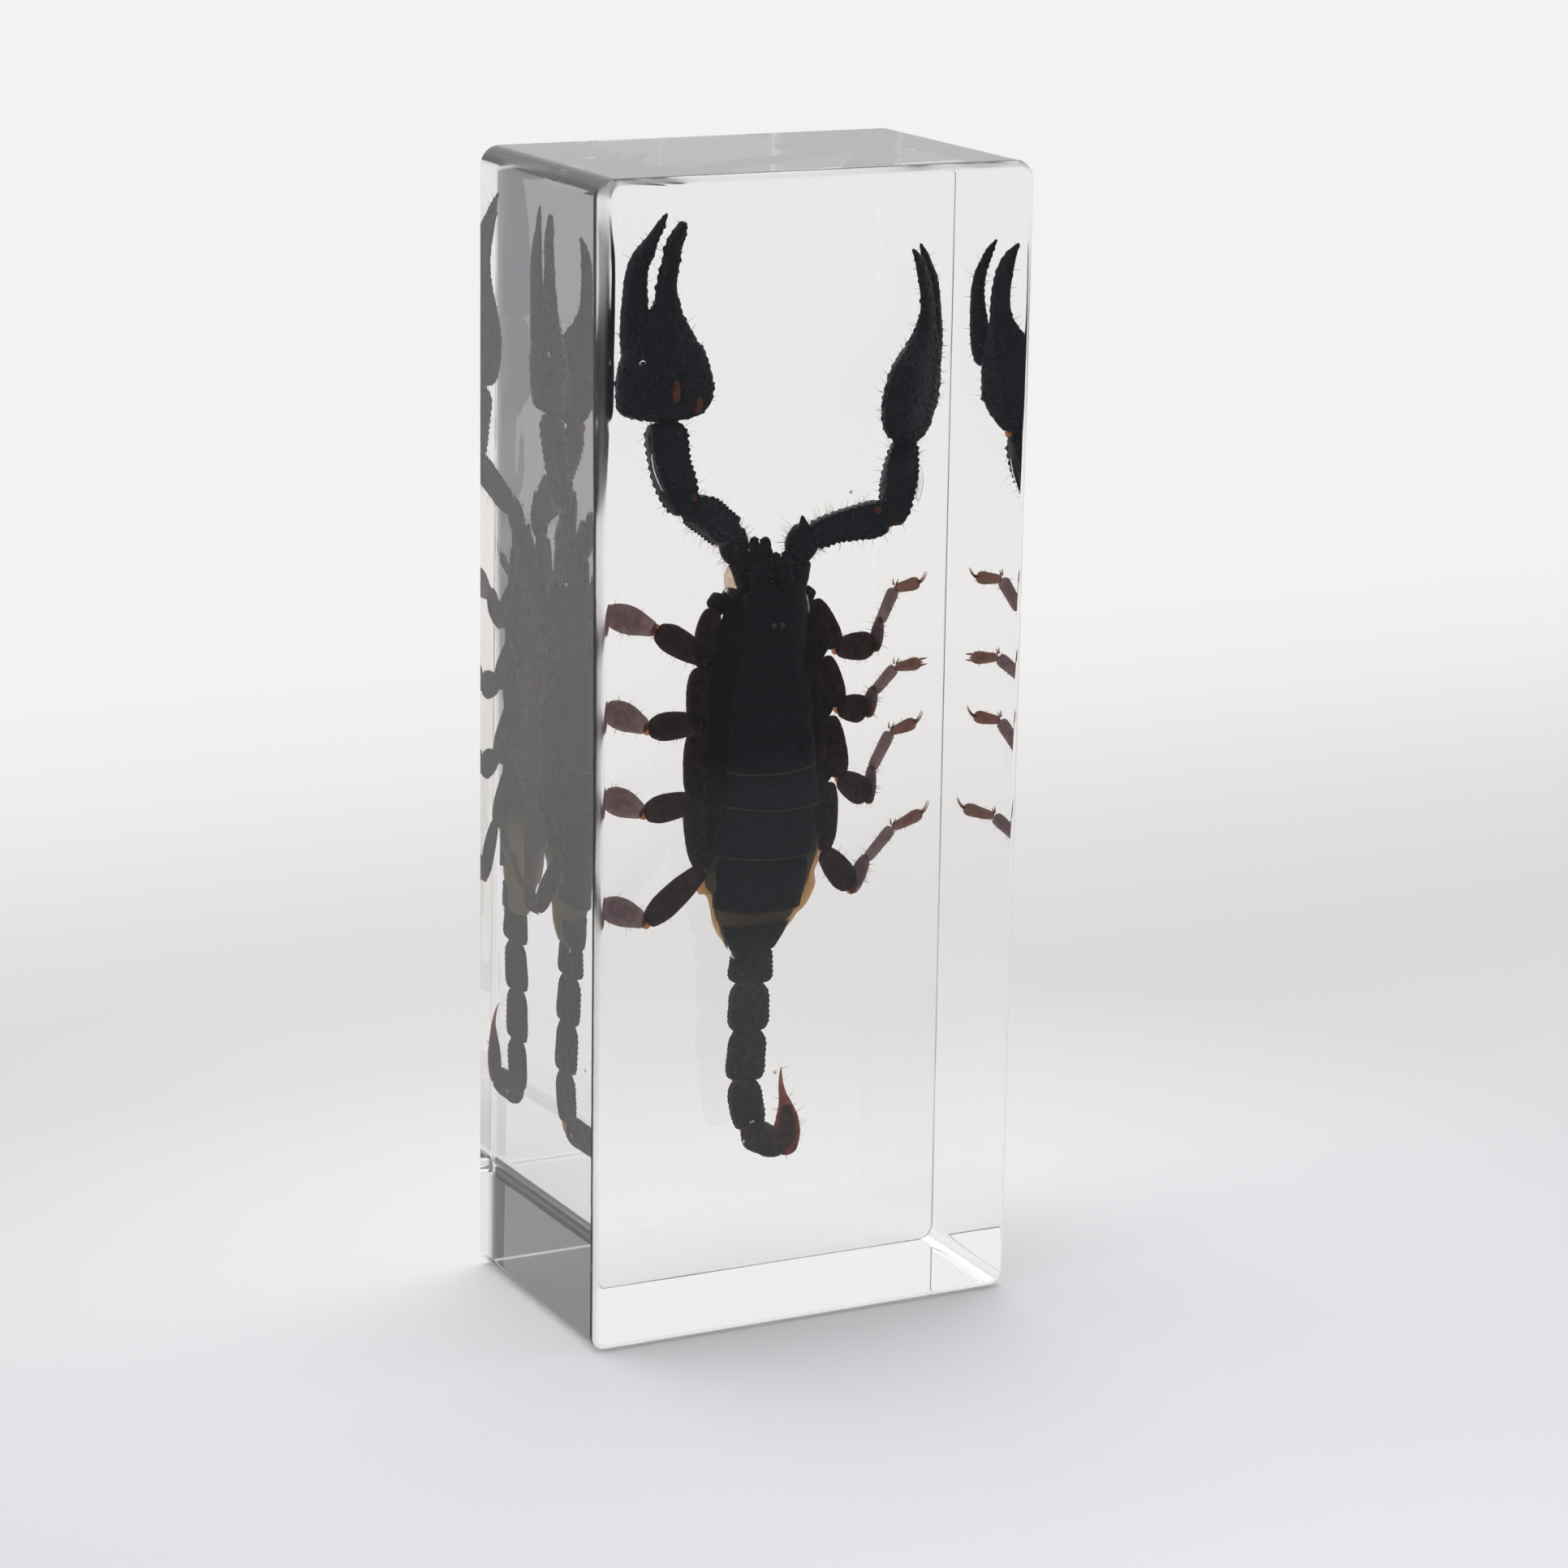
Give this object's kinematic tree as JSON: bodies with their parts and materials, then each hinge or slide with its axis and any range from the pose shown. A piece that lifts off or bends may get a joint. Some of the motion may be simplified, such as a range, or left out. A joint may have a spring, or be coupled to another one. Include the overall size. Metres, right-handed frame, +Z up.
{
  "type": "scorpion in resin block",
  "caption": "Clear cast resin block with softly rounded corners that stands on its small end as a paperweight and seals in a whole dried scorpion, claws up.",
  "frame": {"origin": "middle of the underside that the block stands on", "axes": "+Z up along the block's length, +Y from the front face that shows the scorpion's back to the rear face, +X to the right seen from the front"},
  "size_m": [0.0442, 0.027, 0.11],
  "materials": {
    "resin": "polished, crystal clear"
  },
  "bodies": {
    "root": {"resin_block": "resin"}
  },
  "joints": []
}
